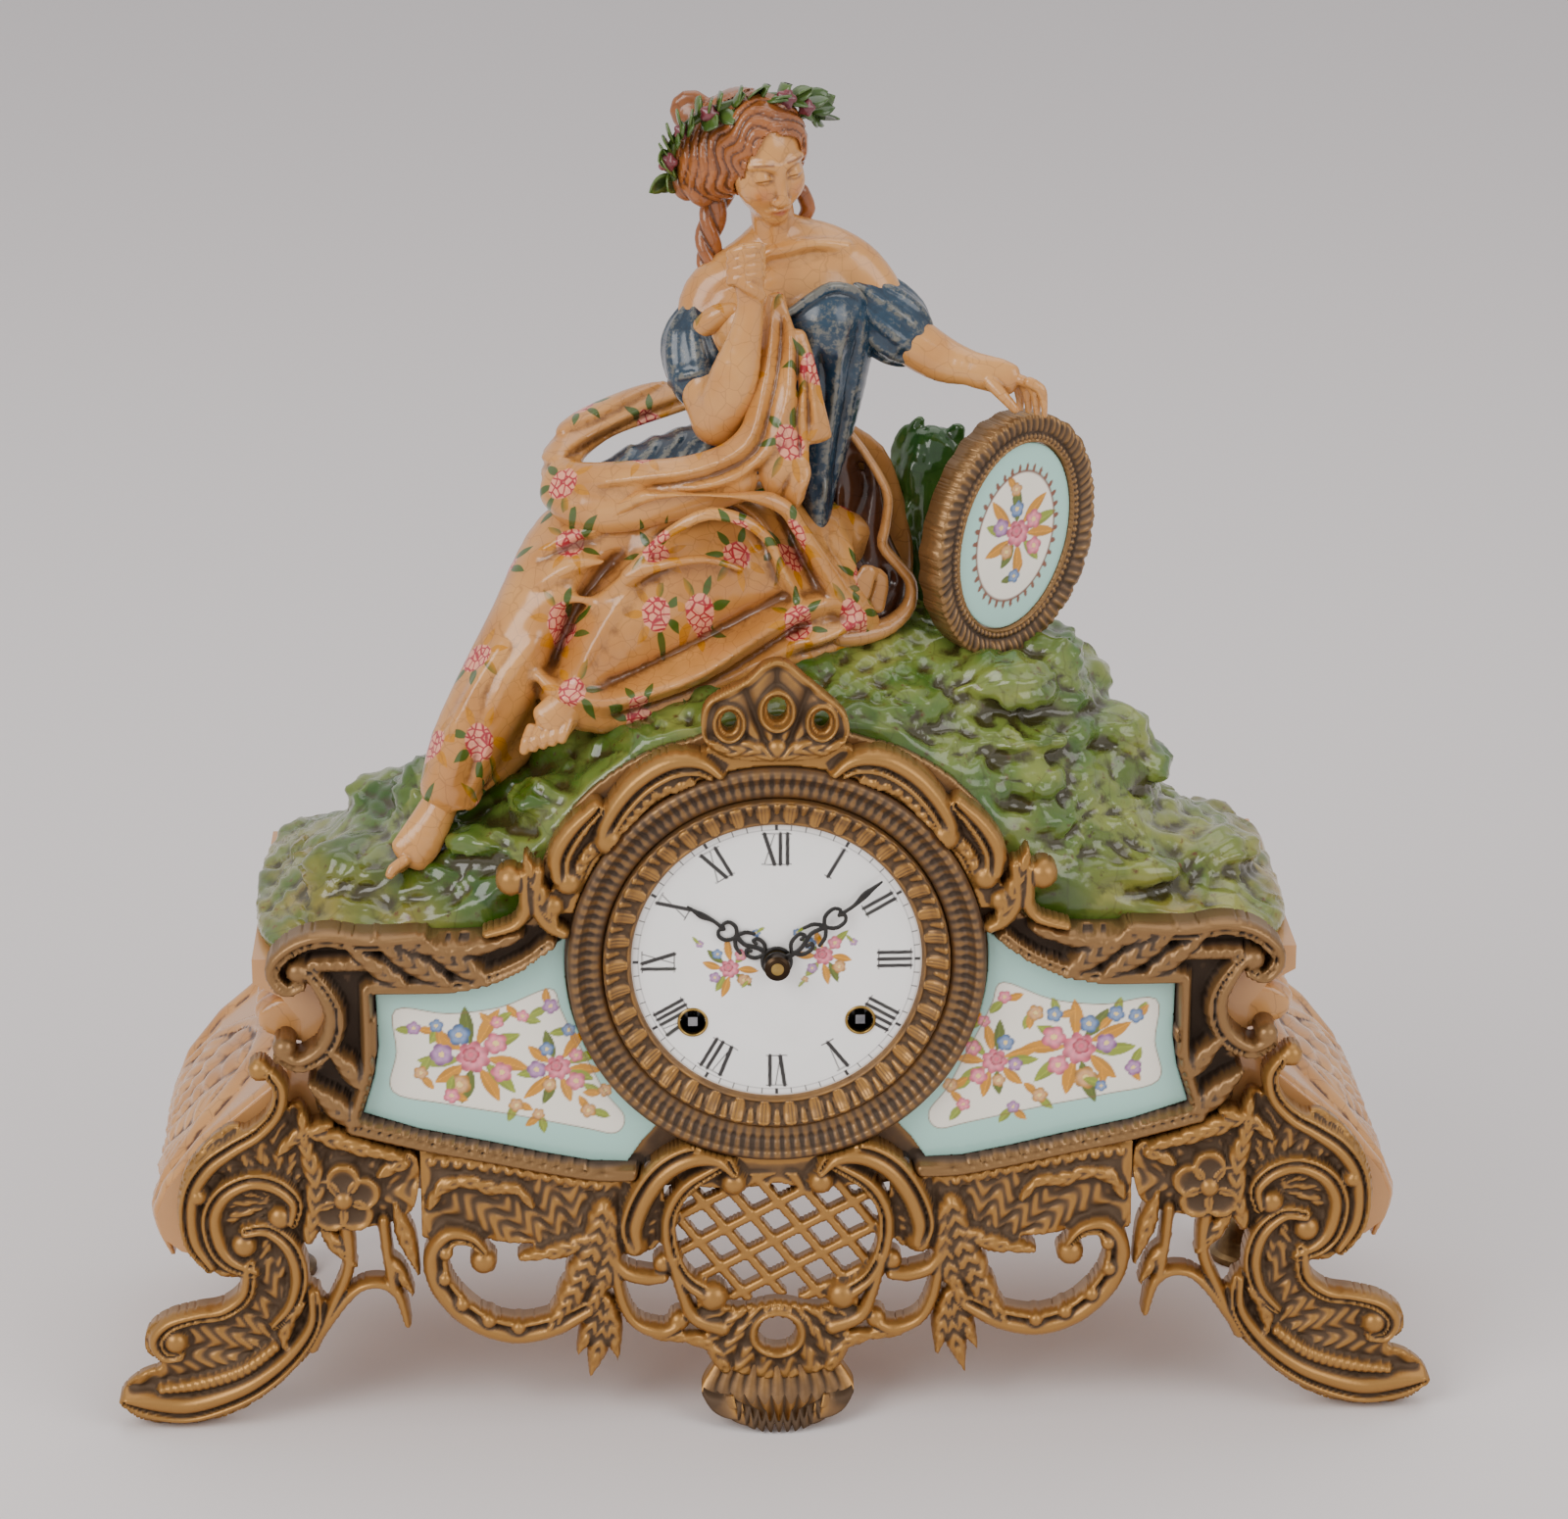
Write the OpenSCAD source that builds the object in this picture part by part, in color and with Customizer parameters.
// Figural mantel clock: a seated draped figure on a rocky mound over a cream case,
// with a pierced gilt front, a round dial and an eight-day time and strike movement.
// X runs to the right, Y away from the viewer and Z up. Feet stand on Z = 0.

/* [Case] */
// Depth of the case from front wall to back wall
case_d = 122; // [112:1:135]
// Thickness of the case walls
case_wall = 4; // [3:0.5:6]
// Height of the case floor above the table
case_floor = 78; // [72:1:82]
// Height of the case roof, where the rock starts
roof_z = 158; // [154:1:162]
// Radius of the round opening in the back wall
back_hole_r = 58; // [50:1:62]

/* [Front castings] */
// Thickness of the front frame plate
frame_t = 4; // [3:0.5:5]
// Thickness of the pierced web of each ornament
web_t = 5; // [4:0.5:6]
// How far the scrolls stand out of their web
relief_t = 4; // [2:0.5:6]
// How far the two front legs are moved outwards
leg_spread = 0; // [0:0.5:10]
// Radius of the fixing screws
screw_r = 1.8; // [1.5:0.1:2.2]

/* [Dial] */
// Height of the dial centre above the table
dial_z = 157.3; // [156:0.1:159]
// Visible radius of the dial
dial_r = 46.3; // [44:0.1:48]
// Thickness of the enamel dial plate
dial_t = 1.2; // [0.8:0.1:1.6]
// Width of the beaded bezel ring
bezel_w = 9; // [8:0.5:10]
// Radius of the winding holes
wind_hole_r = 4.1; // [3.6:0.1:5]

/* [Movement] */
// Distance between the two movement plates
plate_gap = 34; // [34:1:40]
// Thickness of each movement plate
plate_t = 2; // [1.5:0.1:3]
// Radius of the round movement plates
plate_r = 56; // [55:0.5:58]
// Radius of the wheel arbors
arbor_r = 1.5; // [1.2:0.1:1.8]
// Radius of a mainspring barrel
barrel_r = 19; // [16:0.5:20]
// Radial clearance of a shaft in its hole
fit = 0.05; // [0.02:0.01:0.1]
// Clearance between pieces that don't touch
gap = 0.3; // [0.2:0.05:0.5]
// Radius of the strike bell
bell_r = 28; // [24:1:30]

/* [Hands] */
// Length of the minute hand
minute_len = 43; // [38:0.5:45]
// Length of the hour hand
hour_len = 34; // [28:0.5:36]
// Angle of the minute hand, clockwise from twelve
minute_angle = 50.6; // [0:0.1:360]
// Angle of the hour hand, clockwise from twelve
hour_angle = 304; // [0:0.1:360]
// Thickness of a hand
hand_t = 0.6; // [0.4:0.1:1]

/* [Feet and back cover] */
// Radius of the bell-shaped base of a rear foot
foot_r = 13.8; // [11:0.1:16]
// Distance of each rear foot from the centre line
foot_x = 170; // [166:1:174]
// Overhang of the back cover round its opening
cover_lip = 5; // [4:0.5:7]
// Thickness of the back cover
cover_t = 2; // [1.5:0.1:3]

/* [Rock and figure] */
// Thickness of the hollow rock's wall
rock_wall = 9; // [7:0.5:12]
// Half width of the medallion
medal_rx = 31; // [28:0.5:33]
// Half height of the medallion
medal_rz = 40; // [36:0.5:42]
// Thickness of the medallion frame
medal_t = 9; // [7:0.5:11]

/* [Hidden] */
$fn = 48;

// Depth positions, front to back
case_front = -52;
frame_front = case_front - frame_t;
web_front = frame_front - web_t;
relief_front = web_front - relief_t;
case_back = case_front + case_d;
drum_r = 72;
case_half = 167;
// Hair-line gap between glued or screwed pieces that touch
touch = 0.02;

// Colours
gilt = "#8A6636";
cream = "#E5B97F";
moss = "#7C9A4E";
skin = "#DDB077";
brass = "#B79A5B";
steel = "#8E9196";

// ---------- curves and solids used by many pieces ----------

// Catmull-Rom curve through a list of stations, with m steps between two stations
function cubic(a, b, c, d, t) =
  0.5 * (2 * b + (c - a) * t + (2 * a - 5 * b + 4 * c - d) * t * t
  + (3 * b - a - 3 * c + d) * t * t * t);
function smooth(s, m = 3) = concat(
  [for (i = [0 : len(s) - 2], k = [0 : m - 1])
    cubic(s[max(i - 1, 0)], s[i], s[i + 1], s[min(i + 2, len(s) - 1)], k / m)],
  [s[len(s) - 1]]);
function unit(v) = v / norm(v);
function along(p, i) = unit(p[min(i + 1, len(p) - 1)] - p[max(i - 1, 0)]);

// Flat scroll whose stations are [x, z, width]
module band(stations, m = 3) {
  s = smooth(stations, m);
  p = [for (q = s) [q[0], q[1]]];
  n = len(s);
  left = [for (i = [0 : n - 1]) p[i] + s[i][2] / 2 * [-along(p, i)[1], along(p, i)[0]]];
  right = [for (i = [n - 1 : -1 : 0]) p[i] - s[i][2] / 2 * [-along(p, i)[1], along(p, i)[0]]];
  polygon(concat(left, right));
}

// Pointed leaf from a root to a tip
module leaf(a, b, w) {
  mid = (a + b) / 2;
  band([[a[0], a[1], w * 0.35], [mid[0], mid[1], w], [b[0], b[1], 0.6]]);
}

// Smooth closed outline through points
module blob(points, m = 3) {
  n = len(points);
  polygon([for (i = [0 : n - 1], k = [0 : m - 1])
    cubic(points[(i + n - 1) % n], points[i], points[(i + 1) % n], points[(i + 2) % n], k / m)]);
}

module disc(x, z, r, n = 14) { translate([x, z]) circle(r, $fn = n); }

// Upright plate cut from a flat outline, from y = back towards the viewer
module plate(back, t, round = 0.4) {
  translate([0, back, 0]) rotate([90, 0, 0]) linear_extrude(t)
    offset(delta = round) offset(delta = -round) children();
}

// Same, for outlines whose holes must stay true circles
module true_plate(back, t) {
  translate([0, back, 0]) rotate([90, 0, 0]) linear_extrude(t) children();
}

module both() {
  children();
  mirror([1, 0, 0]) children();
}

// Round bar along Y
module y_bar(x, z, y0, y1, r) {
  translate([x, y1, z]) rotate([90, 0, 0]) cylinder(h = y1 - y0, r = r);
}

// Turned piece whose profile [radius, y] is spun about an axis along Y
module y_turned(x, z) {
  translate([x, 0, z]) rotate([-90, 0, 0]) rotate_extrude() children();
}

// Tube through stations [x, y, z, a, b]: a across the reference direction, b along it
function ring_at(c, t, ref, a, b, n) =
  let (side = unit(cross(t, ref)), up = cross(side, t))
  [for (k = [0 : n - 1]) c + a * cos(360 * k / n) * side + b * sin(360 * k / n) * up];
module limb(stations, n = 14, ref = [0, 1, 0], m = 3) {
  s = smooth(stations, m);
  c = [for (q = s) [q[0], q[1], q[2]]];
  last = len(s) - 1;
  points = [for (i = [0 : last]) each ring_at(c[i], along(c, i), ref, s[i][3], s[i][4], n)];
  walls = [for (i = [0 : last - 1], k = [0 : n - 1])
    let (a = i * n + k, b = i * n + (k + 1) % n) each [[a, b, a + n], [b, b + n, a + n]]];
  caps = [[for (k = [n - 1 : -1 : 0]) k], [for (k = [0 : n - 1]) last * n + k]];
  polyhedron(points, concat(walls, caps));
}

// Egg shape with half sizes r about a centre
module egg(c, r, n = 14, rings = 9) {
  limb([for (i = [0 : rings]) let (q = 4 + 172 * i / rings)
    [c[0], c[1], c[2] - r[2] * cos(q), r[0] * sin(q), r[1] * sin(q)]], n, [0, 1, 0], 1);
}

// ---------- case ----------

// Half outline of the bombe case, seen from the front; the ends swell into volutes
end_floor = case_floor - 24;
case_side = [
  [0, case_floor], [138, case_floor], [150, case_floor - 8], [156, end_floor + 4],
  [160, end_floor], [182, end_floor], [193, end_floor + 3], [199, 62], [200.5, 70], [197, 79],
  [186, 93], [172, 105], [159, 116], [152, 127], [152, 137], [158, 145], [case_half, 150],
  [case_half, roof_z], [0, roof_z]
];

module case_outline() {
  both() polygon(case_side);
  disc(0, dial_z, drum_r, 120);
}

module case_shell() color(cream) {
  difference() {
    true_plate(case_back, case_d) offset(delta = 0.01) case_outline();
    true_plate(case_back - case_wall, case_d - 2 * case_wall) offset(delta = -case_wall) case_outline();
    y_bar(0, dial_z, case_front - 1, case_front + case_wall + 1, plate_r + 4);
    y_bar(0, dial_z, case_back - case_wall - 1, case_back + 1, back_hole_r);
    for (p = screw_places) y_bar(p[0], p[1], case_front - 1, case_front + case_wall + 1, screw_r + fit);
    for (s = [-1, 1]) translate([s * foot_x, foot_y, end_floor - 1])
      cylinder(h = case_wall + 2, r = foot_stud_r + fit);
  }
  hinge_lugs();
}

// ---------- rock ----------

// Rows of [x, height]: along the ridge, the front edge and the back edge
ridge_line = [
  [-167, 164], [-158, 171], [-147, 177], [-134, 185], [-124, 191], [-118, 203], [-109, 208],
  [-95, 212], [-80, 220], [-60, 234], [-40, 246], [-20, 252], [0, 256], [30, 258], [55, 256],
  [75, 249], [92, 248], [100, 244], [106, 229], [117, 214], [125, 195], [139, 183],
  [156, 176], [167, 164]
];
front_line = [
  [-167, 162], [-150, 165], [-112, 169], [-92, 177], [-78, 192], [-60, 214], [-40, 230],
  [0, 239], [40, 231], [60, 215], [78, 194], [92, 180], [112, 171], [150, 166], [167, 162]
];
back_line = [
  [-167, 162], [-110, 170], [-85, 180], [-60, 209], [-40, 228], [0, 240], [40, 228],
  [60, 209], [85, 180], [110, 170], [167, 162]
];
rock_y0 = case_front + gap;
rock_y1 = case_back;
ridge_y = 8;
rock_cols = 40;
rock_rows = 14;

function rock_rise(y) =
  sin(90 * min(1, (y < ridge_y) ? (y - rock_y0) / (ridge_y - rock_y0) : (rock_y1 - y) / (rock_y1 - ridge_y)));
function rock_edge(x, y) = lookup(x, (y < ridge_y) ? front_line : back_line);
function rock_lump(x, y) = 2.2 * sin(7 * x + 3 * y) * cos(9 * y - 2 * x) + 1.4 * sin(15 * x) * sin(13 * y);
function rock_top(x, y) =
  let (edge = rock_edge(x, y), s = rock_rise(y))
  edge + (lookup(x, ridge_line) - edge) * s + rock_lump(x, y) * s + roof_z - 158;
function drum_top(x) =
  let (r = drum_r + 1.5) (abs(x) < r) ? dial_z + sqrt(r * r - x * x) : 0;
function rock_under(x, y) = max(roof_z + touch, drum_top(x) + gap, rock_top(x, y) - rock_wall);
function rock_half(y) = case_half + 1 - 10 * pow(abs(y - (rock_y0 + rock_y1) / 2) / (case_d / 2), 4);

module rock_mound() color(moss) {
  cols = rock_cols;
  rows = rock_rows;
  n = (cols + 1) * (rows + 1);
  spots = [for (j = [0 : rows], i = [0 : cols])
    let (y = rock_y0 + (rock_y1 - rock_y0) * j / rows) [rock_half(y) * (2 * i / cols - 1), y]];
  tops = [for (p = spots) [p[0], p[1], rock_top(p[0], p[1])]];
  unders = [for (p = spots) [p[0], p[1], rock_under(p[0], p[1])]];
  cells = [for (j = [0 : rows - 1], i = [0 : cols - 1]) j * (cols + 1) + i];
  top_faces = [for (a = cells) each [[a, a + cols + 1, a + 1], [a + 1, a + cols + 1, a + cols + 2]]];
  under_faces = [for (f = top_faces) [n + f[0], n + f[2], n + f[1]]];
  rim = concat([for (i = [0 : cols]) i], [for (j = [1 : rows]) j * (cols + 1) + cols],
    [for (i = [cols - 1 : -1 : 0]) rows * (cols + 1) + i], [for (j = [rows - 1 : -1 : 1]) j * (cols + 1)]);
  m = len(rim);
  rim_faces = [for (k = [0 : m - 1]) let (a = rim[k], b = rim[(k + 1) % m])
    each [[a, b, n + a], [b, n + b, n + a]]];
  polyhedron(concat(tops, unders), concat(top_faces, under_faces, rim_faces));
}

// Leafy stump that the medallion leans on
module leaf_stump() color("#5F8240") limb([
  [50, 34, 236, 19, 14], [50, 32, 258, 18, 13], [50, 29, 280, 16, 11], [51, 27, 296, 14, 9],
  [54, 26, 307, 10, 6], [56, 26, 313, 4, 3]], 12, [0, 1, 0], 2);

// ---------- gilt front ----------

// The arch and the crest were drawn for this dial height and ring, and follow the real ones
drawn_dial_z = 157.3;
drawn_ring_r = 66.7;
ring_w = 11.4;
screw_ring = plate_r + 8;
apron_screw_z = dial_z - drawn_dial_z + 88.5;
screw_places = [[-126, 92], [126, 92], [-41, apron_screw_z], [41, apron_screw_z],
  [-140, 116], [140, 116],
  [-screw_ring * cos(30), dial_z + screw_ring / 2], [screw_ring * cos(30), dial_z + screw_ring / 2]];
// The first four screws also hold the legs and the apron
deep_screws = 3;

// Panel window, left side; the dial ring closes its right side
window_edge = [
  [-128, 149.5], [-103, 149.5], [-90, 152.5], [-80, 157.5], [-67, 167], [-40, 157],
  [-30, 110], [-43, 96], [-48, 88.5], [-60, 89], [-75, 92], [-92, 96], [-115, 101],
  [-133, 107], [-129, 120], [-127.5, 130]
];
ring_r = dial_r + bezel_w + ring_w;
ring_scale = ring_r / drawn_ring_r;
function from_dial(p) = [p[0] * ring_scale, dial_z + (p[1] - drawn_dial_z) * ring_scale];
module about_dial() translate(from_dial([0, 0])) scale(ring_scale) children();

module window(grow = 0) difference() {
  offset(delta = grow) polygon(window_edge);
  disc(0, dial_z, ring_r + 0.5 - grow, 96);
}

module frame_half() {
  blob([[0, 82], [-48, 81], [-92, 84], [-115, 86], [-134, 90], [-146, 104], [-148, 121],
    [-141, 131], [-139, 144], [-147, 155], [-152, 167], [-130, 169.5], [-110, 168],
    [-90, 168.5], [-78, 172], [-76, 184], [-71, 198], [-62, 211], [-48, 222.5], [-30, 230],
    [0, 231]], 3);
}

module frame_relief() {
  band([[-128, 151.7, 4], [-104, 151.7, 4], [-92, 154, 4.5], [-80, 159.3, 4.5], [-72, 165.5, 4]]);
  band([[-118, 166.5, 5], [-104, 164, 5], [-92, 165.5, 5], [-82, 169, 4]]);
  band([[-112, 168, 4], [-130, 167, 5], [-142, 168.7, 5], [-151, 167, 5], [-158, 162, 5],
    [-160, 156.5, 4.5], [-156, 151.5, 4], [-151, 153, 3.5]]);
  disc(-152, 157.5, 3.7);
  band([[-130, 151, 4.5], [-129.8, 130, 4.5], [-131.3, 119, 4.5], [-136, 104, 4.5]]);
  band([[-135, 103.5, 4.5], [-114, 98, 4.5], [-92, 93.3, 4.5], [-75, 89.6, 4.5], [-58, 86.5, 4.5],
    [-47, 86, 4]]);
  band([[-148, 157, 4], [-142, 147, 6], [-141, 139, 6.5], [-144.5, 131, 6.5], [-152, 126.5, 5.5],
    [-158.5, 129, 4]]);
  disc(-157, 131.6, 3.6);
  disc(-99, 148.3, 3.5);
}

module front_frame() color(gilt) difference() {
  union() {
    plate(case_front, frame_t) difference() {
      union() { both() frame_half(); both() frame_relief(); }
      both() window(-2);
      disc(0, dial_z, dial_r + 3.5, 96);
    }
    both() plate(frame_front, web_t + relief_t / 2) difference() {
      frame_relief();
      disc(0, dial_z, ring_r + gap, 96);
      window();
    }
  }
  for (p = screw_places) y_bar(p[0], p[1], frame_front - web_t, case_front + 1, screw_r + fit);
}

module arch_half() about_dial() {
  band([[-17, 220.5, 4], [-24, 225.5, 7], [-33, 225.5, 8.5], [-42, 220.5, 8.5], [-49, 213, 8],
    [-53.5, 205, 7], [-53.5, 201, 6]]);
  disc(-53, 201, 5);
  band([[-57, 211.5, 5], [-64, 204, 7], [-68.5, 196, 7.5], [-68.5, 189, 6]]);
  disc(-66, 187, 4.5);
  band([[-75, 191, 3.5], [-76, 180, 5], [-72.5, 173, 5], [-67.6, 170, 4]]);
  disc(-71, 179, 4);
  band([[-79.5, 190, 3], [-79.5, 182, 4], [-79.5, 177.5, 4.5], [-83, 172.8, 3.5], [-92, 170, 2.6]]);
  disc(-84, 187.5, 5.2);
}

module arch_scrolls() color(gilt) difference() {
  union() {
    plate(frame_front, web_t) difference() {
      union() {
        both() offset(delta = 1) arch_half();
        intersection() {
          disc(0, dial_z, ring_r + 9.3, 96);
          about_dial() translate([-90, 176]) square([180, 60]);
        }
      }
      arch_cuts();
    }
    plate(web_front, relief_t) difference() {
      both() offset(delta = -0.8) arch_half();
      arch_cuts();
    }
    both() for (p = [[-53, 201, 4.5], [-66, 187, 4], [-84, 187.5, 4.4]])
      translate([from_dial(p)[0], web_front - relief_t / 2, from_dial(p)[1]]) sphere(p[2]);
  }
  y_bar(0, dial_z, -100, 0, ring_r + gap);
}

module arch_cuts() {
  disc(0, dial_z, ring_r + gap, 96);
  offset(delta = gap) crest_outline();
  both() offset(delta = gap) frame_relief();
}

module crest_outline() about_dial() blob([
  [-23, 234], [-17, 228.5], [-9, 227], [0, 226.5], [9, 227], [16, 228.5], [22, 234], [22, 240],
  [18, 245], [10, 252], [3, 258], [-4, 257.5], [-10, 252], [-18, 248], [-23, 243]]);

module crest() color(gilt) {
  plate(frame_front, web_t) difference() {
    crest_outline();
    about_dial() {
      translate([-15, 239]) scale([1, 1.4]) disc(0, 0, 2.5);
      translate([0, 243]) scale([1, 1.35]) disc(0, 0, 3.1);
      translate([14, 239]) scale([1, 1.4]) disc(0, 0, 2.5);
    }
  }
  plate(web_front, relief_t) {
    difference() {
      offset(delta = -0.8) crest_outline();
      about_dial() {
        disc(-15, 239, 5.4);
        disc(0, 243, 6);
        disc(14, 239, 5.4);
      }
    }
  }
}

// ---------- legs ----------

split_x = 115;

module leg_field() {
  blob([[-171, 53], [-173, 44], [-180, 39], [-188, 37.5], [-197, 39], [-204, 34], [-205, 27],
    [-200, 21], [-208, 17], [-214, 10], [-208, 2.5], [-195, 0], [-180, 3], [-170, 8],
    [-160, 16], [-150, 27], [-144, 38], [-151, 50], [-158, 60]]);
  blob([[-176, 104], [-187, 94], [-192, 84], [-192.5, 72], [-188, 61], [-180, 53], [-170, 52],
    [-158, 54], [-150, 68], [-143, 69], [-126, 70], [-117, 76], [-116, 93], [-128, 97],
    [-142, 101], [-150, 103], [-152, 112], [-158, 110], [-166, 103]]);
  leg_twigs();
}

module leg_twigs() {
  band([[-151, 27, 4], [-144, 42, 4], [-138.5, 56, 4.4], [-139, 70, 5]]);
  band([[-149, 31, 3.5], [-138, 46, 3.6], [-130, 49.5, 3.6], [-123, 46, 4], [-120, 35, 2.5]]);
  band([[-127, 72, 4], [-126, 60, 3.8], [-124, 47, 4]]);
  leaf([-127, 60], [-118, 46], 5.5);
  leaf([-123, 77], [-116, 53], 6);
  leaf([-147, 70], [-136, 56], 6);
}

module leg_relief() {
  band([[-170.5, 57, 4.5], [-172, 47, 5], [-179, 41, 5], [-188, 39.4, 4.5], [-197, 36.5, 5],
    [-201.5, 31, 5], [-199, 25.5, 4], [-194, 25.5, 3.5]]);
  disc(-195, 30.5, 3.8);
  band([[-211.5, 10, 5], [-204, 8, 9], [-193, 6.5, 9.5], [-182, 9, 9], [-170, 14.5, 8],
    [-158.5, 24, 6.5], [-150.5, 36, 5], [-150, 47, 4]]);
  band([[-171, 69, 4], [-164, 69.5, 5], [-157, 63, 6], [-154.5, 53, 6], [-157, 43, 5], [-163, 36, 3]]);
  disc(-172, 64, 4.2);
  band([[-156, 72, 3.5], [-155, 79, 5], [-161, 85, 6], [-169.5, 86.5, 6], [-178, 82, 6.5],
    [-182, 74, 7], [-180.5, 64, 7], [-176, 58, 6], [-169, 55, 4]]);
  disc(-160, 73.5, 4.2);
  band([[-183, 57, 4], [-188, 65, 6], [-189.3, 75, 6.5], [-187.5, 84.5, 6.5], [-182, 92.5, 6.5],
    [-174, 98.5, 6], [-166, 103.5, 5.5], [-160, 110.5, 5], [-158.5, 118, 5], [-161, 123, 4.5]]);
  disc(-165, 124.5, 3.7);
  for (k = [0 : 4]) disc(-139.5 + 7 * sin(72 * k), 80 + 7 * cos(72 * k), 5.6);
  band([[-150, 104, 4], [-143, 101, 7], [-132, 97, 6], [-120, 94, 3]]);
  band([[-151, 66, 5], [-148, 84, 8], [-151, 99, 6], [-152, 110, 3]]);
  leg_twigs();
}

module leg_zone() translate([-250, -5]) square([250 - split_x, 140]);

module leg() color(gilt) translate([-leg_spread, 0, 0]) difference() {
  union() {
    plate(frame_front, web_t) difference() {
      intersection() { union() { leg_field(); offset(delta = 0.6) leg_relief(); } leg_zone(); }
      offset(delta = gap) frame_relief();
    }
    plate(web_front, relief_t) difference() {
      intersection() { leg_relief(); leg_zone(); }
      offset(delta = gap) frame_relief();
    }
    for (p = [[-195, 30.5, 4], [-172, 64, 4.4], [-160, 73.5, 4.4], [-139.5, 80, 4.5]])
      translate([p[0], web_front - relief_t / 2, p[1]]) sphere(p[2]);
    // Toe pad, so that the leg stands on a flat face
    translate([-202, frame_front - web_t - relief_t, 0]) cube([12, web_t + relief_t, 3]);
  }
  y_bar(screw_places[0][0] + leg_spread, screw_places[0][1], web_front - relief_t / 4,
    frame_front + 1, screw_r + fit);
  translate([-250, -100, -20]) cube([250, 100, 20]);
}

module leg_left() leg();
module leg_right() mirror([1, 0, 0]) leg();

// ---------- apron ----------

module apron_zone() difference() {
  translate([-split_x + gap, -10]) square([2 * (split_x - gap), 120]);
  polygon([[-140, 130], [-140, 101.5], [-114, 95.4], [-92, 90.7], [-75, 87], [-58, 84], [-48, 83.6],
    [-44, 90], [-34, 98], [-20, 104], [0, 106], [20, 104], [34, 98], [44, 90], [48, 83.6], [58, 84],
    [75, 87], [92, 90.7], [114, 95.4], [140, 101.5], [140, 130]]);
  both() offset(delta = gap) frame_relief();
  disc(0, dial_z, ring_r + gap, 96);
}

module apron_half() {
  band([[-94.5, 61, 3], [-99, 65.5, 5], [-106, 66, 7], [-110.3, 59, 8], [-109, 50, 8.5],
    [-103.3, 41.5, 8.5], [-95, 35, 8.5], [-84, 32, 8.5], [-72, 34.5, 8], [-62, 40, 6]]);
  disc(-95, 57, 4.6);
  band([[-56, 76, 8], [-60, 60, 12], [-66, 46, 10], [-74, 34, 4]]);
  band([[-54, 74, 6], [-55, 56, 9], [-61, 39, 5]]);
  band([[-60, 64, 8], [-71, 60.5, 6.5], [-83, 58.5, 3]]);
  leaf([-56, 44], [-65, 24], 7);
  leaf([-55, 43], [-52, 22], 7);
  leaf([-56, 38], [-61, 16], 7);
  band([[-14, 87, 3], [-19, 92.5, 7], [-28, 93, 8.5], [-37, 88, 8.5], [-43.5, 79, 8.5],
    [-47, 69, 8], [-46, 62, 6]]);
  disc(-14, 83, 4.3);
  disc(-46, 62, 4.2);
  band([[-19, 89, 4], [-29.5, 82, 5], [-35, 72, 5], [-34.5, 60, 5], [-30, 50, 5], [-24, 45, 6]]);
  disc(-21, 43, 5.2);
  band([[-54, 74, 4], [-54.5, 61, 5], [-50, 53, 5], [-43, 50.3, 5], [-37, 50.5, 4]]);
  disc(-37, 55, 3.4);
  band([[-53, 57, 4], [-50.5, 43, 4], [-46, 34.5, 4], [-38, 31, 5], [-33, 33, 4]]);
  disc(-32, 34.5, 3.4);
  band([[-40, 30, 4], [-30, 29, 5], [-22, 26, 6], [-17, 18, 6]]);
  band([[-34, 57, 4], [-31, 45, 4], [-27, 36, 5], [-18, 32, 6]]);
}

module apron_web() {
  both() {
    offset(delta = 0.5) apron_half();
    polygon([[-115, 97], [-92, 93], [-58, 87], [-46, 84], [-30, 96], [-36, 84], [-38, 62], [-50, 58],
      [-62, 58], [-80, 62], [-92, 63.5], [-104, 68.5], [-115, 66]]);
  }
  translate([0, 88]) square([60, 12], center = true);
  difference() {
    blob([[-26, 44], [-14, 38.5], [0, 40.5], [14, 38.5], [26, 44], [22, 27], [17, 18], [0, 14],
      [-17, 18], [-22, 27]]);
    translate([0, 30]) scale([1, 0.92]) disc(0, 0, 6.6);
  }
}

// Diagonal bars; the two sets lean at different angles
module lattice() intersection() {
  blob([[-29, 80], [-33, 66], [-28, 50], [-14, 41], [0, 43], [14, 41], [28, 50], [33, 66], [29, 80],
    [14, 84], [0, 85], [-14, 84]]);
  union() {
    for (k = [-4 : 4]) translate([12.1 * k, 60]) rotate(-52) square([120, 3], center = true);
    for (k = [-4 : 4]) translate([0, 62 + 12.6 * k]) rotate(27.5) square([120, 3], center = true);
  }
}

// One step of the shell that flares forward under the apron
module shell_slab(z, half_w, y_front, t) {
  translate([-half_w, y_front, z]) cube([2 * half_w, t, 0.8]);
}

module apron() color(gilt) difference() {
  union() {
    plate(frame_front, web_t, 0.3) intersection() {
      union() { apron_web(); lattice(); }
      apron_zone();
    }
    plate(web_front, relief_t, 0.3) intersection() {
      both() apron_half();
      apron_zone();
    }
    both() for (p = [[-95, 57, 4.4], [-46, 62, 4.4], [-21, 43, 5], [-32, 34.5, 3.4]])
      translate([p[0], web_front - relief_t / 2, p[1]]) sphere(p[2]);
    shell_depth = shell_front - frame_front;
    hull() {
      shell_slab(22, 24, frame_front - web_t - 1, web_t + 1);
      shell_slab(12, 25, frame_front + shell_depth * 0.62, 7);
    }
    hull() {
      shell_slab(12, 25, frame_front + shell_depth * 0.62, 7);
      shell_slab(3, 13, shell_front, 6);
    }
    hull() {
      shell_slab(3, 13, shell_front, 6);
      shell_slab(shell_low, 8, shell_front, 5);
    }
  }
  for (p = [screw_places[2], screw_places[3]])
    y_bar(p[0], p[1], web_front - relief_t / 4, frame_front + 1, screw_r + fit);
}
shell_front = -80;
shell_low = 1.2;

// ---------- dial and panels ----------

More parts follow.
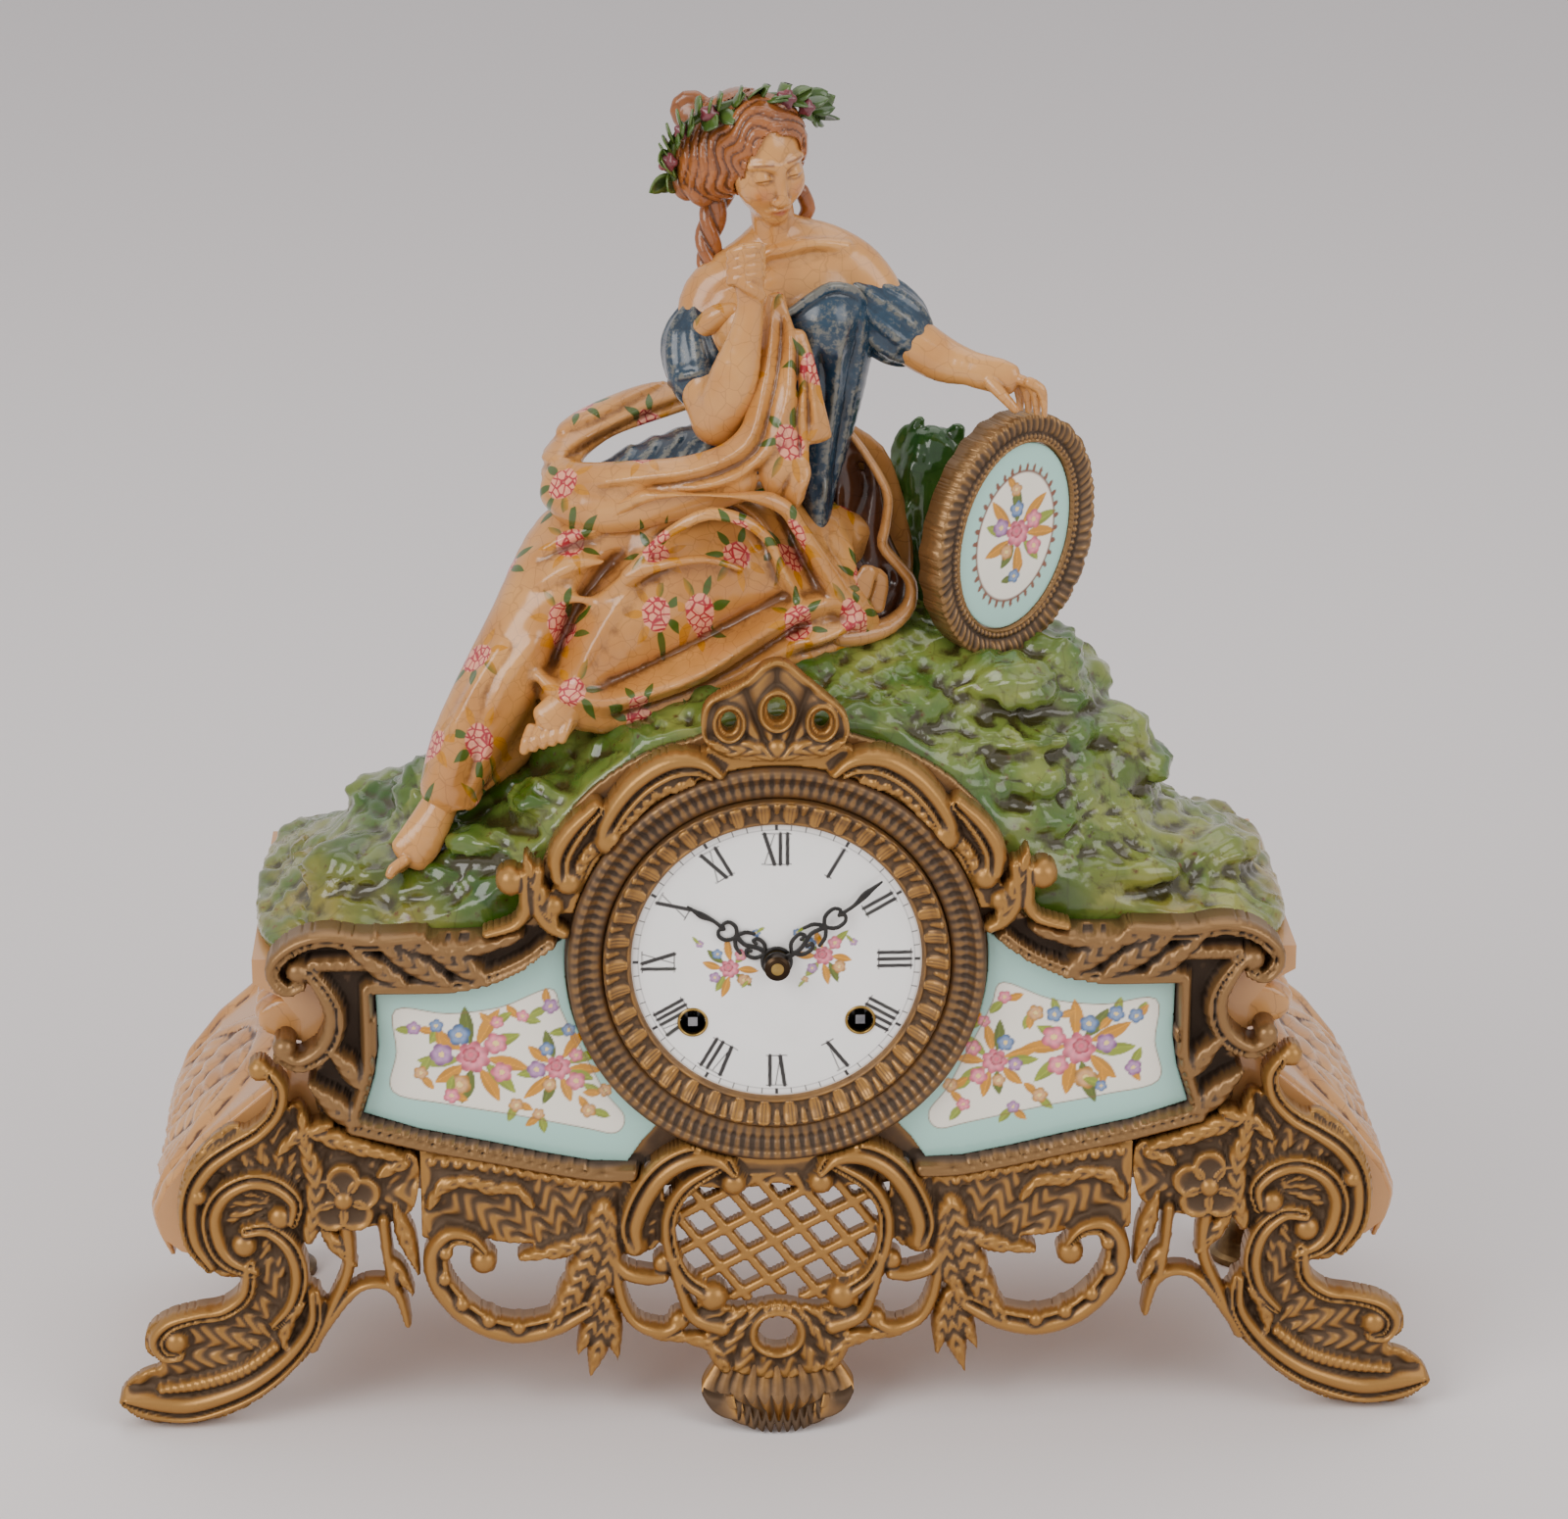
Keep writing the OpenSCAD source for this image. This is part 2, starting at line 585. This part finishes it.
dial_back = frame_front;
dial_front = dial_back - dial_t;

module dial_surround() color(gilt) y_turned(0, dial_z)
  polygon([[ring_r, frame_front], [ring_r, frame_front - 6], [ring_r - 2, frame_front - 8],
    [ring_r - 4, frame_front - 7], [ring_r - 7, frame_front - 4.5],
    [dial_r + bezel_w + gap, frame_front - 3.5], [dial_r + bezel_w + gap, frame_front]]);

module bezel() color(gilt) {
  y_turned(0, dial_z) polygon([[dial_r, dial_front], [dial_r + bezel_w, dial_front],
    [dial_r + bezel_w, dial_front - 5], [dial_r + bezel_w - 1.5, dial_front - 6],
    [dial_r + bezel_w - 3, dial_front - 4], [dial_r + 3, dial_front - 2.6],
    [dial_r + 1.5, dial_front - 3], [dial_r, dial_front - 2]]);
}

wind_x = 26.8;
wind_z = dial_z - 20.7;

module dial_plate() color("#FAFAFA") difference() {
  y_bar(0, dial_z, dial_front, dial_back, dial_r + bezel_w - 0.5);
  y_bar(0, dial_z, dial_front - 1, dial_back + 1, hour_pipe_r + 0.6);
  for (s = [-1, 1]) y_bar(s * wind_x, wind_z, dial_front - 1, dial_back + 1, wind_hole_r);
}

// The panel lies on a step that the frame plate leaves inside the window
module panel() color("#A9D8CC") plate(frame_front, 2.2, 0.1) window(-gap);
module panel_left() panel();
module panel_right() mirror([1, 0, 0]) panel();

module frame_screws() color(steel) for (i = [0 : len(screw_places) - 1]) {
  p = screw_places[i];
  y_bar(p[0], p[1], (i <= deep_screws) ? web_front : frame_front + 0.5, case_front + case_wall, screw_r);
  y_bar(p[0], p[1], case_front + case_wall, case_front + case_wall + 2, screw_r + 1.6);
}

// ---------- rear feet ----------

foot_y = case_back - 12;
foot_stud_r = 2.5;
foot_seat = end_floor - touch;

module rear_foot() color(brass) {
  rotate_extrude() polygon([[0, 0], [foot_r, 0], [foot_r, 2.2], [foot_r - 2, 3.2], [foot_r - 3.5, 8],
    [foot_r - 6.5, 13], [5.2, 16.5], [3.8, 20], [3.8, 30], [6.4, 33], [6.4, 36], [4.2, 39],
    [4.2, foot_seat - 8], [9, foot_seat - 4], [9, foot_seat], [foot_stud_r, foot_seat],
    [foot_stud_r, foot_seat + case_wall + 7], [0, foot_seat + case_wall + 7]]);
}
module rear_foot_left() translate([-foot_x, foot_y, 0]) rear_foot();
module rear_foot_right() translate([foot_x, foot_y, 0]) rear_foot();
module foot_nuts() color(steel) for (s = [-1, 1])
  translate([s * foot_x, foot_y, end_floor + case_wall + touch]) difference() {
    cylinder(h = 4, r = 5, $fn = 6);
    translate([0, 0, -1]) cylinder(h = 6, r = foot_stud_r + fit);
  }

// ---------- figure ----------

module head() color(skin) union() {
  limb([[2.5, 2, 377, 9, 8], [1.5, 1, 384, 7, 7], [0, 1, 391, 7, 7], [-1, 1, 396, 5, 5]], 14);
  egg([-1, -1, 404], [13.5, 15, 18.5]);
}

module hair() color("#A8643A") limb([
  [-4, 6, 388, 7, 6], [-5, 6, 394, 13, 12], [-5, 5, 403, 16.5, 15], [-4.5, 4, 412, 16.5, 15],
  [-4, 4, 419, 12, 11], [-4, 4, 423, 4, 4]], 16);

wreath_c = [-4, 3, 412];
module wreath() color("#4E6B2C") {
  turn = 34;
  translate(wreath_c) rotate([-22, turn, 0]) rotate_extrude() translate([17.5, 0]) circle(4.2);
  for (k = [0 : 3]) translate(wreath_c) rotate([-22, turn, 0]) rotate(90 * k + 20)
    translate([17.5, 0, 2.5]) sphere(4.2);
}

module torso() color(skin) limb([
  [14, 3, 341, 20, 13], [10, 3, 348, 24.5, 16], [6, 4, 358, 29, 14], [4, 4, 366, 27, 11.5], [3.5, 4, 372, 18, 9.5],
  [3, 3, 377, 9, 8.5], [3, 3, 380, 7, 7]], 18);

module bodice() color("#2B4357") limb([
  [22, 4, 290, 21.5, 17.5], [22.5, 3.5, 297, 20.5, 16], [23, 3, 306, 19, 14.5], [22, 2.5, 318, 19.5, 15],
  [17.5, 2, 334, 23, 17.5], [12.5, 1.5, 346, 25.5, 20], [10, 1.5, 354, 25, 17.5]], 18);

module arm_right() color(skin) limb([
  [-21, 3, 364, 6, 6], [-22.5, 1, 357, 9.5, 9.5], [-22, -5, 344, 9.5, 9.5], [-19, -14, 331, 9, 9],
  [-15.5, -21, 322.5, 8.8, 8.8], [-12.5, -25, 329, 8, 8], [-10, -27, 343, 7, 7],
  [-8, -28, 358, 5, 5.2], [-8, -28, 366, 5, 6.5], [-9, -28, 375, 6, 7.5], [-9.5, -28, 381, 3, 4]],
  14, [0.3, 1, 0.1]);

module arm_left() color(skin) limb([
  [28, 4, 368, 5, 5], [33, 4, 361, 9.5, 9], [39, 2, 349, 9, 9], [45, -1, 341, 8.5, 8.5],
  [54, -5, 338, 7.4, 7.4], [64, -9, 337.5, 5.2, 5.6], [70, -11, 336, 6, 4.2],
  [77, -13, 332, 5.5, 3.5], [82, -14, 327, 3, 2]], 14, [0, 1, 0.2]);

module sleeves() color("#2B4357") {
  limb([[-22.8, 1.5, 355, 10, 10], [-23.2, 0, 350, 12, 12], [-22.5, -3, 344, 12, 12],
    [-21.5, -6, 340, 10.2, 10.2]], 14, [0, 1, 0.2]);
  limb([[31, 4, 361, 10, 10], [36.5, 3, 357, 12, 12], [41, 1.5, 350, 12, 12],
    [43.5, 0, 346.5, 10, 10]], 14, [0, 1, 0.2]);
}

module skirt() color(cream) limb([
  [42, 12, 262, 20, 18], [32, 9, 266, 30, 28], [16, 5, 268, 33, 32], [-6, 0, 266, 34, 33],
  [-30, -5, 264, 35, 33], [-52, -9, 262, 35, 31], [-69, -14, 252, 32, 28], [-82, -19, 238, 27, 24],
  [-93, -24, 224, 22, 20], [-103, -29, 213, 16, 14], [-107, -31, 208, 14, 12]], 20);

module shawl() color(cream) {
  limb([[2, -14, 360, 7, 2.5], [6, -19, 347, 9, 3.5], [6, -25, 330, 11, 5], [0, -30, 313, 13, 6],
    [-18, -30, 301, 12, 7], [-42, -22, 298, 9, 8], [-62, -8, 300, 8, 8], [-68, 6, 304, 7, 8],
    [-58, 16, 309, 7, 7], [-38, 18, 315, 6, 7], [-18, 14, 322, 5, 6], [-6, 10, 328, 3, 4]],
    14, [0.2, 1, 0.6]);
  limb([[30, 12, 322, 4, 4], [38, 16, 308, 9, 7], [46, 19, 290, 12, 9], [48, 17, 272, 13, 11],
    [42, 8, 258, 14, 12], [32, 0, 250, 10, 10]], 14);
}

module feet() color(skin) {
  limb([[-101, -28, 216, 6, 6.5], [-105, -31, 206, 6, 6.5], [-109, -33, 199, 6.5, 7.5],
    [-114, -36, 191, 7.5, 6], [-119, -38, 185, 7, 3.5], [-122, -39, 182, 4, 1.8]], 14);
  limb([[-62, -34, 240, 6, 6], [-67, -37, 235, 6.5, 5.5], [-73, -40, 230, 7, 4.5],
    [-78, -42, 227, 5, 2.5]], 14);
}

// ---------- medallion ----------

medal_c = [76, -5, 283];
module medal_place() translate(medal_c) rotate([0, 17, 0]) rotate([0, 0, 33]) rotate([-8, 0, 0])
  children();
module medal_oval(grow = 0) scale([(medal_rx + grow) / (medal_rz + grow), 1]) circle(medal_rz + grow);
medal_rim = 9;

module medallion_frame() color(gilt) medal_place() difference() {
  union() {
    plate(medal_t / 2, medal_t, 0.2) medal_oval();
    plate(medal_t / 2 - medal_t, 2.5, 0.2) difference() { medal_oval(-2); medal_oval(-medal_rim + 1); }
  }
  plate(-medal_t / 2 + 2, 20, 0.2) medal_oval(-medal_rim);
  translate([0, 0, -medal_rz - 1]) cylinder(h = peg_sink + 1, r = peg_r + fit);
}
peg_r = 2.5;
peg_sink = 6;
module medallion_plaque() color("#A9D8CC") medal_place()
  plate(-medal_t / 2 + 2 - touch, 1.4, 0.2) medal_oval(-medal_rim - gap);
module medallion_peg() color(steel) medal_place()
  translate([0, 0, -medal_rz - 12]) cylinder(h = 12 + peg_sink - gap, r = peg_r);

// ---------- movement ----------

front_plate_y = -40;
back_plate_y = front_plate_y + plate_t + plate_gap;
inner_front = front_plate_y + plate_t;
inner_back = back_plate_y;
pivot_r = 1;
wheel_t = 1.2;

// Places of the arbors, measured from the dial centre
function at(p) = [p[0], dial_z + p[1]];
time_at = [wind_x, -20.7];
strike_at = [-wind_x, -20.7];
great_teeth = 60;
center_pinion_teeth = 12;
great_module = 2 * norm(time_at) / (great_teeth + center_pinion_teeth);
center_teeth = 64;
third_pinion_teeth = 8;
center_module = 0.6;
third_at = center_module * (center_teeth + third_pinion_teeth) / 2 * [cos(110), sin(110)];
third_teeth = 60;
escape_pinion_teeth = 8;
third_module = 0.5;
escape_at = third_at + third_module * (third_teeth + escape_pinion_teeth) / 2 * [cos(18), sin(18)];
escape_r = 9.5;
pallet_at = escape_at + 14 * [cos(80), sin(80)];
balance_at = [-13, 43];
balance_r = 11;
pin_module = 0.75;
pin_pinion_teeth = 10;
pin_at = strike_at + pin_module * (great_teeth + pin_pinion_teeth) / 2 * [cos(102), sin(102)];
pin_wheel_r = 10.5;
motion_at = 12 * [cos(-90), sin(-90)];
hammer_at = [-38, 30];
wind_r = 2.6;
wind_square = 3;
pillar_r = plate_r - 5;
pillar_angles = [15, 75, 165, 270];
post_angles = [40, 140, 220, 320];

// Toothed wheel outline with slim straight-sided teeth
module gear(teeth, mod, phase = 0) {
  r = teeth * mod / 2;
  step = 360 / teeth;
  polygon([for (i = [0 : teeth - 1]) each [
    for (q = [[-0.27, -1.15], [-0.13, 0.85], [0.13, 0.85], [0.27, -1.15]])
      (r + q[1] * mod) * [cos(phase + step * (i + q[0])), sin(phase + step * (i + q[0]))]]]);
}

// Outline placed at an arbor and made into a wheel whose front is at y
module wheel(p, y, t) {
  translate([at(p)[0], y + t, at(p)[1]]) rotate([90, 0, 0]) linear_extrude(t) children();
}
module arbor(p, y0, y1, r) y_bar(at(p)[0], at(p)[1], y0, y1, r);

// Arbor that runs in both plates
module pivoted_arbor(p) {
  arbor(p, inner_front + gap, inner_back - gap, arbor_r);
  arbor(p, front_plate_y, back_plate_y + plate_t, pivot_r);
}

// Spokes left in a wheel
module spoked(r_rim, r_hub, count = 4) difference() {
  children();
  difference() {
    circle(r_rim);
    circle(r_hub);
    for (k = [0 : count - 1]) rotate(360 * k / count) translate([0, -1]) square([r_rim + 1, 2]);
  }
}

pivots = [third_at, escape_at, pallet_at, balance_at, pin_at, hammer_at];

module movement_plate(y) difference() {
  y_bar(0, dial_z, y, y + plate_t, plate_r);
  for (p = pivots) arbor(p, y - 1, y + plate_t + 1, pivot_r + fit);
  arbor([0, 0], y - 1, y + plate_t + 1, arbor_r + 0.5 + fit);
  for (p = [time_at, strike_at]) arbor(p, y - 1, y + plate_t + 1, wind_r + fit);
  for (q = pillar_angles) arbor(pillar_r * [cos(q), sin(q)], y - 1, y + plate_t + 1, 2 + fit);
}

module front_plate() color(brass) {
  movement_plate(front_plate_y);
  arbor(motion_at, front_plate_y - 9, front_plate_y, pivot_r);
}
module back_plate() color(brass) difference() {
  movement_plate(back_plate_y);
  arbor(bell_at, back_plate_y - 1, back_plate_y + plate_t + 1, 2 + fit);
}

module plate_pillars() color(brass) for (q = pillar_angles) {
  p = pillar_r * [cos(q), sin(q)];
  arbor(p, inner_front, inner_back, 3.4);
  arbor(p, front_plate_y - 2, back_plate_y + plate_t + 2, 2);
}

// Posts between the front plate and the gilt frame
module movement_posts() color(brass) for (q = post_angles)
  arbor((plate_r - 3) * [cos(q), sin(q)], case_front, front_plate_y, 2.8);

great_y = inner_back - 4;
barrel_y0 = inner_front + 3.6;
barrel_y1 = great_y - gap;

module barrel(p, mod, phase) {
  difference() {
    union() {
      arbor(p, barrel_y0, great_y + 0.2, barrel_r);
      wheel(p, great_y, wheel_t + 0.4) gear(great_teeth, mod, phase);
    }
    arbor(p, barrel_y0 + 1.2, great_y - 1, barrel_r - 1.2);
    arbor(p, barrel_y0 - 1, great_y + 5, wind_r + fit);
  }
}
module time_barrel() color(brass) barrel(time_at, great_module, great_phase);
module strike_barrel() color(brass) barrel(strike_at, pin_module, 0);

// Flat spiral spring with a constant pitch
module mainspring(p) {
  turns = 7;
  steps = 20;
  r0 = wind_r + 0.4;
  strip = 0.5;
  pitch = (barrel_r - 1.2 - gap - strip - r0) / turns;
  spiral = [for (i = [0 : turns * steps]) [r0 + pitch * i / steps, 360 * i / steps]];
  wheel(p, barrel_y0 + 2, great_y - barrel_y0 - 4) polygon(concat(
    [for (s = spiral) s[0] * [cos(s[1]), sin(s[1])]],
    [for (i = [len(spiral) - 1 : -1 : 0])
      let (s = spiral[i]) (s[0] + strip) * [cos(s[1]), sin(s[1])]]));
}
module time_mainspring() color(steel) mainspring(time_at);
module strike_mainspring() color(steel) mainspring(strike_at);

// Winding arbor with its square end in the dial hole and its ratchet wheel
module winding_arbor(p) {
  arbor(p, front_plate_y - 8, back_plate_y + plate_t + 2, wind_r);
  wheel(p, dial_front + 0.4, front_plate_y - 8 - dial_front) square(wind_square, center = true);
  wheel(p, front_plate_y - 3.2, 2) polygon([for (i = [0 : 23])
    each [8.6 * [cos(15 * i), sin(15 * i)], 7.4 * [cos(15 * i + 2), sin(15 * i + 2)]]]);
}
module time_winding_arbor() color(steel) winding_arbor(time_at);
module strike_winding_arbor() color(steel) winding_arbor(strike_at);

center_y = inner_front + 1;
module center_wheel() color(brass) {
  arbor([0, 0], front_plate_y - 25.4, back_plate_y + plate_t, arbor_r + 0.5);
  wheel([0, 0], center_y, wheel_t) spoked(15, 5) gear(center_teeth, center_module);
  wheel([0, 0], great_y - 1, wheel_t + 2) gear(center_pinion_teeth, great_module);
}

cannon_teeth = 12;
motion_teeth = 36;
cannon_module = 0.5;
motion_pinion_teeth = 10;
hour_teeth = 40;
hour_module = 2 * norm(motion_at) / (motion_pinion_teeth + hour_teeth);
cannon_pipe_r = arbor_r + 0.5 + 1;
hour_pipe_r = cannon_pipe_r + fit + 1;
cannon_y = front_plate_y - 3.4;
hour_y = front_plate_y - 7.2;
hour_hand_y = dial_front - 1.6;
minute_hand_y = hour_hand_y - 2;

module cannon_pinion() color(brass) difference() {
  union() {
    wheel([0, 0], cannon_y, 2.4) gear(cannon_teeth, cannon_module);
    arbor([0, 0], minute_hand_y - 0.2, cannon_y + gap, cannon_pipe_r);
  }
  arbor([0, 0], minute_hand_y - 5, front_plate_y, arbor_r + 0.5 + fit);
}

module motion_wheel() color(brass) difference() {
  union() {
    wheel(motion_at, cannon_y + 0.6, wheel_t) gear(motion_teeth, cannon_module, motion_phase);
    wheel(motion_at, hour_y - 0.6, cannon_y + 0.8 - hour_y + 0.6) gear(motion_pinion_teeth, hour_module);
  }
  arbor(motion_at, front_plate_y - 12, front_plate_y, pivot_r + fit);
}

module hour_wheel() color(brass) difference() {
  union() {
    wheel([0, 0], hour_y, wheel_t) gear(hour_teeth, hour_module, hour_phase);
    arbor([0, 0], hour_hand_y - 0.2, hour_y + 1, hour_pipe_r);
  }
  arbor([0, 0], hour_hand_y - 5, front_plate_y, cannon_pipe_r + fit);
}

// Pierced serpentine hand pointing to twelve
module hand_outline(len, hub) {
  disc(0, 0, hub);
  band([[0, 2, 2], [2.2, 6, 1.3], [0, 10, 1.5], [-2.4, 14, 1.3], [0, 18, 1.5]], 5);
  difference() { disc(0, len * 0.36, 3); disc(0, len * 0.36, 1.7); }
  difference() { disc(-2.6, len * 0.36 + 3, 2.3); disc(-2.6, len * 0.36 + 3, 1.2); }
  difference() { disc(2.6, len * 0.36 + 3, 2.3); disc(2.6, len * 0.36 + 3, 1.2); }
  band([[0, 2, 2], [0, len * 0.6, 1.4], [0, len * 0.8, 2.4], [0, len, 0.5]], 4);
}

module hand(y, turn, len, bore, hub) {
  translate([0, y + hand_t, dial_z]) rotate([0, turn, 0]) rotate([90, 0, 0]) difference() {
    linear_extrude(hand_t) offset(delta = 0.05) hand_outline(len, hub);
    translate([0, 0, -1]) cylinder(h = hand_t + 2, r = bore);
  }
}
module minute_hand() color("#151515") hand(minute_hand_y, minute_angle, minute_len, cannon_pipe_r + fit, 4.2);
module hour_hand() color("#151515") hand(hour_hand_y, hour_angle, hour_len, hour_pipe_r + fit, 5.2);
module hand_nut() color("#4A3524") y_turned(0, dial_z) {
  y0 = front_plate_y - 25.4;
  polygon([[arbor_r + 0.5 + fit, minute_hand_y - 0.4], [4.1, minute_hand_y - 0.4],
    [4.1, y0 + 0.6], [3.2, y0], [arbor_r + 0.5 + fit, y0]]);
}

third_y = inner_back - 9;
module third_wheel() color(brass) {
  pivoted_arbor(third_at);
  wheel(third_at, inner_front + gap + 0.2, 3) gear(third_pinion_teeth, center_module, third_phase);
  wheel(third_at, third_y, wheel_t) spoked(11.5, 4) gear(third_teeth, third_module);
}

escape_y = inner_front + 16;
module escape_wheel() color(brass) {
  pivoted_arbor(escape_at);
  wheel(escape_at, third_y - 1, wheel_t + 2) gear(escape_pinion_teeth, third_module, escape_phase);
  wheel(escape_at, escape_y, wheel_t) spoked(7, 3) polygon([for (i = [0 : 14]) each [
    escape_r * [cos(24 * i), sin(24 * i)], (escape_r - 1.8) * [cos(24 * i + 6), sin(24 * i + 6)],
    (escape_r - 1.8) * [cos(24 * i + 20), sin(24 * i + 20)]]]);
}

// Lever with two pallet arms over the escape wheel and a fork towards the balance
module pallet_lever() color(steel) {
  pivoted_arbor(pallet_at);
  to_balance = balance_at - pallet_at;
  fork = atan2(to_balance[1], to_balance[0]);
  wheel(pallet_at, escape_y, wheel_t) {
    circle(2.6);
    for (q = [210, 310]) rotate(q) translate([0, -0.9]) square([7, 1.8]);
    rotate(fork) translate([0, -0.8]) square([norm(to_balance) - 4, 1.6]);
  }
}

balance_y = inner_front + 22;
module balance_wheel() color(brass) {
  pivoted_arbor(balance_at);
  wheel(balance_at, balance_y, 1.6) spoked(balance_r - 1.6, 2.6, 2) circle(balance_r);
  wheel(balance_at, escape_y, wheel_t) circle(3);
}

pin_y = inner_front + 1;
module pin_wheel() color(brass) {
  pivoted_arbor(pin_at);
  wheel(pin_at, great_y - 0.6, wheel_t + 1.6) gear(pin_pinion_teeth, pin_module, pin_phase);
  wheel(pin_at, pin_y, wheel_t) circle(pin_wheel_r);
  for (k = [0 : 7]) arbor(pin_at + (pin_wheel_r - 1.6) * [cos(45 * k), sin(45 * k)],
    pin_y + 0.5, pin_y + 2.4, 0.6);
}

// ---------- strike ----------

bell_at = [2, -7];
bell_y = back_plate_y + plate_t + 8;
bell_deep = 15;
hammer_head_r = 3.5;
hammer_head_at = bell_at + (bell_r + hammer_head_r + 1.2) * [cos(176), sin(176)];

module bell() color("#C9A24A") y_turned(at(bell_at)[0], at(bell_at)[1]) polygon([
  [2.6, bell_y + bell_deep], [bell_r - 9, bell_y + bell_deep], [bell_r - 3, bell_y + bell_deep - 4],
  [bell_r - 0.8, bell_y + 4], [bell_r, bell_y], [bell_r - 2, bell_y], [bell_r - 2.8, bell_y + 4],
  [bell_r - 5, bell_y + bell_deep - 5], [bell_r - 10, bell_y + bell_deep - 2],
  [2.6, bell_y + bell_deep - 2]]);

module bell_post() color(steel) y_turned(at(bell_at)[0], at(bell_at)[1]) polygon([
  [0, back_plate_y + gap], [2, back_plate_y + gap], [2, back_plate_y + plate_t], [4, back_plate_y + plate_t],
  [4, bell_y + bell_deep - 2], [2.5, bell_y + bell_deep - 2], [2.5, bell_y + bell_deep],
  [4.5, bell_y + bell_deep], [4.5, bell_y + bell_deep + 3], [0, bell_y + bell_deep + 3]]);

module strike_hammer() color(steel) {
  pivoted_arbor(hammer_at);
  arm_y = back_plate_y + plate_t + 2.5;
  arbor(hammer_at, back_plate_y + plate_t, arm_y + 2, pivot_r);
  wheel(hammer_at, arm_y, 2) {
    circle(3);
    to_head = hammer_head_at - hammer_at;
    rotate(atan2(to_head[1], to_head[0])) translate([0, -1]) square([norm(to_head), 2]);
  }
  arbor(hammer_head_at, arm_y, bell_y + 6, hammer_head_r);
}

// ---------- back cover ----------

cover_r = back_hole_r + cover_lip;
cover_y = case_back + gap;
hinge_x = -cover_r - 2;
hinge_y = cover_y + 2;
hinge_half = 9;
lug_len = 5;
pin_r = 1;
knob_x = cover_r - 7;
knob_end = cover_y + cover_t + 7.7;

// Round cover with a ring of sound holes and a hinge knuckle
module back_cover() color("#9C7440") difference() {
  union() {
    y_bar(0, dial_z, cover_y, cover_y + cover_t, cover_r);
    translate([hinge_x, cover_y, dial_z - hinge_half]) cube([12, cover_t, 2 * hinge_half]);
    translate([hinge_x, hinge_y, dial_z - hinge_half]) cylinder(h = 2 * hinge_half, r = 2);
  }
  for (k = [0 : 11]) arbor(36 * [cos(30 * k), sin(30 * k)], cover_y - 1, cover_y + cover_t + 1, 3);
  translate([hinge_x, hinge_y, dial_z - 2 * hinge_half]) cylinder(h = 4 * hinge_half, r = pin_r + fit);
  y_bar(knob_x, dial_z, cover_y - 1, cover_y + cover_t + 1, pin_r + fit);
}

// Lugs on the back wall, above and below the knuckle
module hinge_lugs() for (z = [dial_z - hinge_half - gap - lug_len, dial_z + hinge_half + gap])
  translate([hinge_x, 0, z]) difference() {
    union() {
      translate([0, hinge_y, 0]) cylinder(h = lug_len, r = 2);
      translate([-5, case_back - 0.1, 0]) cube([5, hinge_y - case_back + 1, lug_len]);
    }
    translate([0, hinge_y, -1]) cylinder(h = lug_len + 2, r = pin_r + fit);
  }

module hinge_pin() color(steel)
  translate([hinge_x, hinge_y, dial_z - hinge_half - gap - lug_len])
    cylinder(h = 2 * (hinge_half + gap + lug_len), r = pin_r);

module cover_knob() color(brass) {
  y_bar(knob_x, dial_z, cover_y, cover_y + cover_t, pin_r);
  y_bar(knob_x, dial_z, cover_y + cover_t, knob_end - 2.5, 2);
  y_bar(knob_x, dial_z, knob_end - 3, knob_end, 3.4);
}

// Phase that puts wheel b in mesh with wheel a: a tooth of one faces a gap of the other
function mesh_phase(teeth_b, teeth_a, phase_a, place_a, place_b) =
  let (d = place_b - place_a, q = atan2(d[1], d[0]))
  q + 180 - 360 / teeth_b * ((phase_a - q) * teeth_a / 360 + 0.5);
great_phase = mesh_phase(great_teeth, center_pinion_teeth, 0, [0, 0], time_at);
third_phase = mesh_phase(third_pinion_teeth, center_teeth, 0, [0, 0], third_at);
escape_phase = mesh_phase(escape_pinion_teeth, third_teeth, 0, third_at, escape_at);
pin_phase = mesh_phase(pin_pinion_teeth, great_teeth, 0, strike_at, pin_at);
motion_phase = mesh_phase(motion_teeth, cannon_teeth, 0, [0, 0], motion_at);
hour_phase = mesh_phase(hour_teeth, motion_pinion_teeth, 0, motion_at, [0, 0]);

case_shell();
rock_mound();
leaf_stump();
front_frame();
arch_scrolls();
crest();
leg_left();
leg_right();
apron();
dial_surround();
bezel();
dial_plate();
panel_left();
panel_right();
frame_screws();
rear_foot_left();
rear_foot_right();
foot_nuts();
head();
hair();
wreath();
torso();
bodice();
arm_right();
arm_left();
sleeves();
skirt();
shawl();
feet();
medallion_frame();
medallion_plaque();
medallion_peg();
front_plate();
back_plate();
plate_pillars();
movement_posts();
time_barrel();
time_mainspring();
time_winding_arbor();
strike_barrel();
strike_mainspring();
strike_winding_arbor();
center_wheel();
cannon_pinion();
minute_hand();
hand_nut();
motion_wheel();
hour_wheel();
hour_hand();
third_wheel();
escape_wheel();
pallet_lever();
balance_wheel();
pin_wheel();
strike_hammer();
bell();
bell_post();
back_cover();
cover_knob();
hinge_pin();
